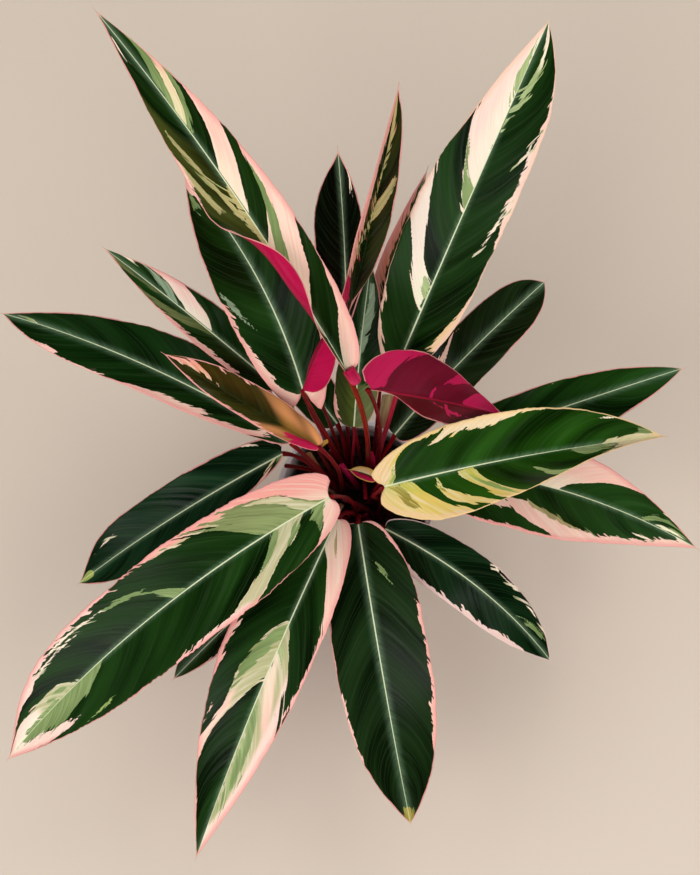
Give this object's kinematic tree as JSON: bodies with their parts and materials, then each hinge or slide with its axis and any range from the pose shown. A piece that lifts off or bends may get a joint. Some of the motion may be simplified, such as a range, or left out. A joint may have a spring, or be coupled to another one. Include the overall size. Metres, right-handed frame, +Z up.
{
  "type": "potted stromanthe triostar",
  "caption": "Potted foliage plant: long pointed leaves in green, cream and pink with magenta undersides on red stalks, in a plain white round pot with soil.",
  "frame": {"origin": "middle of the pot's flat underside, where it stands on the table", "axes": "+Z up along the pot's axis; +X to the right and +Y to the top of the view from above"},
  "size_m": [0.5382, 0.5813, 0.4323],
  "materials": {
    "pot": "satin white plastic",
    "soil": "rough crumbly potting mix, with the density of light bark and peat",
    "stalks": "satin dark red living stalk",
    "leaf": "glossy living leaf, green with cream and pink sectors",
    "leaf_underside": "satin living leaf seen from its magenta underside",
    "dry_sheath": "dry papery sheath"
  },
  "bodies": {
    "root": {"pot": "pot", "soil": "soil", "shoot_north": "stalks", "shoot_east_north": "stalks", "shoot_west": "stalks", "shoot_east": "stalks", "shoot_south": "stalks", "blade_01": "leaf", "blade_02": "leaf", "blade_03": "leaf", "blade_04": "leaf", "blade_05": "leaf", "blade_06": "leaf", "blade_07": "leaf", "blade_08": "leaf", "blade_09": "leaf", "blade_10": "leaf", "blade_11": "leaf", "blade_12": "leaf", "blade_13": "leaf", "blade_14": "leaf", "blade_15": "leaf_underside", "blade_16": "leaf", "blade_17": "leaf", "blade_18": "leaf", "blade_19": "leaf", "blade_20": "leaf", "blade_21": "leaf", "blade_22": "leaf_underside", "blade_23": "leaf", "blade_24": "leaf", "sheath_1": "dry_sheath", "sheath_2": "dry_sheath", "sheath_3": "dry_sheath"}
  },
  "joints": []
}
